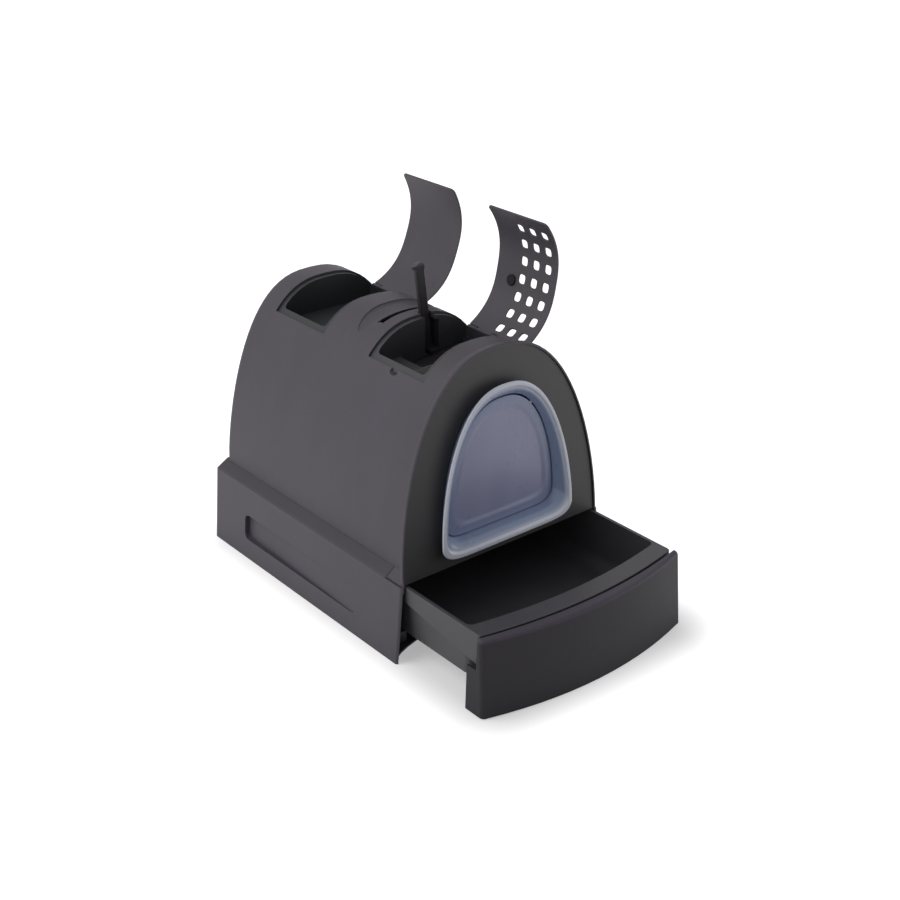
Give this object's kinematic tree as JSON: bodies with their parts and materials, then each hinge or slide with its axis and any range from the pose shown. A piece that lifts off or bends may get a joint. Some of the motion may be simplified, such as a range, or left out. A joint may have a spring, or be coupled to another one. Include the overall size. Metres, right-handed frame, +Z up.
{
  "type": "hooded cat litter box",
  "caption": "Hooded litter box: arched hood on a base, pull-out litter tray with bowed front, swinging entrance flap, hinged top lids over storage wells, and a scoop.",
  "frame": {"origin": "centre of the base's underside", "axes": "+Z up, -Y towards the entrance and the drawer's front, +X to the right seen from the front"},
  "size_m": [0.4, 0.6969, 0.5669],
  "materials": {
    "shell": "fine-textured matte",
    "front_face": "fine-textured matte",
    "lid": "fine-textured matte",
    "liner": "satin",
    "tray": "satin",
    "filter": "fibrous, dull",
    "tinted_frame": "smooth, translucent",
    "tinted_flap": "smooth, translucent",
    "pin": "satin",
    "rubber_button": "dull, soft"
  },
  "bodies": {
    "base": {"base_shell": "shell"},
    "drawer": {"drawer_tray": "tray", "drawer_front": "shell"},
    "hood": {"hood_shell": "shell", "front_panel": "front_face", "storage_bin": "liner", "scoop_well": "liner", "carbon_filter": "filter", "door_frame": "tinted_frame", "door_pin_left": "tinted_frame", "door_pin_right": "tinted_frame", "front_lid_pin": "pin", "rear_lid_pin": "pin"},
    "front_lid": {"front_lid": "lid", "lid_button": "rubber_button"},
    "rear_lid": {"rear_lid": "lid"},
    "door_flap": {"door_flap": "tinted_flap"},
    "scoop": {"scoop": "tray"}
  },
  "joints": [
    {"name": "drawer_slide", "type": "slide", "parent": "base", "child": "drawer", "axis": [0, -1, 0], "range_m": [-0.1412, 0.36]},
    {"name": "hood_lift", "type": "slide", "parent": "base", "child": "hood", "axis": [0, 0, 1], "range_m": [0, 0.32]},
    {"name": "front_lid_hinge", "type": "hinge", "parent": "hood", "child": "front_lid", "pos_m": [0.094, -0.1125, 0.3827], "axis": [0, 1, 0], "range_deg": [-101, 0]},
    {"name": "rear_lid_hinge", "type": "hinge", "parent": "hood", "child": "rear_lid", "pos_m": [0.094, 0.1275, 0.3827], "axis": [0, 1, 0], "range_deg": [-110, 0]},
    {"name": "flap_hinge", "type": "hinge", "parent": "hood", "child": "door_flap", "pos_m": [0, -0.232, 0.332], "axis": [1, 0, 0], "range_deg": [-45, 45]},
    {"name": "scoop_lift", "type": "slide", "parent": "hood", "child": "scoop", "axis": [-0.1219, 0, 0.9925], "range_m": [0, 0.32]}
  ]
}
